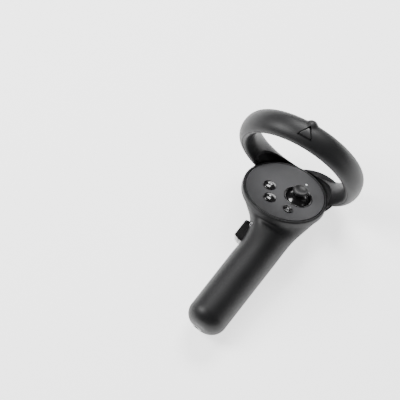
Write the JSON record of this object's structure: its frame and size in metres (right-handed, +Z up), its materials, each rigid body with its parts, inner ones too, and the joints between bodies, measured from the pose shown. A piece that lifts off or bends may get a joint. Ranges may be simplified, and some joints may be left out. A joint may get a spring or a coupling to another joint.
{
  "type": "vr motion controller",
  "caption": "Handheld motion controller with a straight round handle, a round face with thumbstick and domed buttons, and a tracking ring around the hand.",
  "frame": {"origin": "under the middle of the overall box, on the surface the controller lies on", "axes": "+Y along the handle towards the ring, +Z up out of the face, +X to the user's right"},
  "size_m": [0.0988, 0.1537, 0.0997],
  "materials": {
    "soft_touch_shell": "fine matt soft-touch",
    "grained_face": "fine even grain",
    "gloss_black": "polished",
    "satin_black": "satin",
    "inner_plastic": "plain moulded",
    "stick_rubber": "smooth moulded rubber",
    "steel_wire": "drawn wire",
    "steel_pin": "ground",
    "cell_jacket": "printed jacket",
    "circuit_board": "solder mask",
    "chip_black": "moulded epoxy",
    "light_guide": "clear",
    "film_strip": "flexible film",
    "magnet": "plated"
  },
  "bodies": {
    "controller_body": {"handle_front_shell": "soft_touch_shell", "handle_rear_shell": "soft_touch_shell", "lanyard_sleeve": "gloss_black", "shell_screws": "steel_pin", "head_rim": "soft_touch_shell", "face_plate": "grained_face", "status_light_pipe": "light_guide", "tact_switches": "satin_black", "stick_bezel": "gloss_black", "stick_housing": "satin_black", "stick_spring": "steel_wire", "main_board": "circuit_board", "board_chips": "chip_black", "trigger_pin": "steel_pin", "trigger_cheeks": "inner_plastic", "trigger_spring": "steel_wire", "grip_pin": "steel_pin", "grip_spring": "steel_wire", "grip_sensor": "chip_black", "battery_cell": "cell_jacket", "battery_tray": "inner_plastic", "battery_spring": "steel_wire", "battery_contact": "steel_pin", "haptic_motor": "steel_pin", "ring_outer_shell": "soft_touch_shell", "ring_inner_shell": "soft_touch_shell", "crest_tile": "satin_black", "crest_lug": "soft_touch_shell", "light_strip": "film_strip", "infrared_leds": "light_guide"},
    "button_a": {"button_a": "gloss_black"},
    "button_b": {"button_b": "gloss_black"},
    "home_button": {"home_button": "gloss_black"},
    "battery_door": {"battery_door": "soft_touch_shell"},
    "stick_carrier": {"stick_carrier": "inner_plastic"},
    "stick_gimbal": {"stick_gimbal": "inner_plastic"},
    "stick": {"stick_cap": "stick_rubber", "stick_skirt": "gloss_black", "stick_stem": "inner_plastic"},
    "index_trigger": {"index_trigger": "satin_black", "trigger_magnet": "magnet"},
    "grip_key": {"grip_key": "gloss_black", "grip_magnet": "magnet"}
  },
  "joints": [
    {"name": "button_a_press", "type": "slide", "parent": "controller_body", "child": "button_a", "axis": [0, -0.4633, -0.8862], "range_m": [0, 0.0011], "stiffness_N_per_m": 60},
    {"name": "button_b_press", "type": "slide", "parent": "controller_body", "child": "button_b", "axis": [0, -0.4633, -0.8862], "range_m": [0, 0.0011], "stiffness_N_per_m": 60},
    {"name": "home_button_press", "type": "slide", "parent": "controller_body", "child": "home_button", "axis": [0, -0.4633, -0.8862], "range_m": [0, 0.0008], "stiffness_N_per_m": 60},
    {"name": "stick_press", "type": "slide", "parent": "controller_body", "child": "stick_carrier", "axis": [0, -0.4633, -0.8862], "range_m": [0, 0.0006], "stiffness_N_per_m": 120},
    {"name": "stick_tilt_fore_aft", "type": "hinge", "parent": "stick_carrier", "child": "stick_gimbal", "pos_m": [0.0091, 0.04328, 0.01575], "axis": [1, 0, 0], "range_deg": [-15, 15], "stiffness_Nm_per_rad": 0.004},
    {"name": "stick_tilt_sideways", "type": "hinge", "parent": "stick_gimbal", "child": "stick", "pos_m": [0.0091, 0.04328, 0.01575], "axis": [0, 0.8862, -0.4633], "range_deg": [-15, 15], "stiffness_Nm_per_rad": 0.004},
    {"name": "index_trigger_pull", "type": "hinge", "parent": "controller_body", "child": "index_trigger", "pos_m": [0.0023, 0.03895, 0.0078], "axis": [-1, 0, 0], "range_deg": [0, 12], "stiffness_Nm_per_rad": 0.02},
    {"name": "grip_key_squeeze", "type": "hinge", "parent": "controller_body", "child": "grip_key", "pos_m": [-0.0047, 0.00845, 0.0153], "axis": [0, 0, 1], "range_deg": [0, 8], "stiffness_Nm_per_rad": 0.01},
    {"name": "battery_door_lift", "type": "slide", "parent": "controller_body", "child": "battery_door", "axis": [0, 0, -1], "range_m": [0, 0.01]}
  ]
}
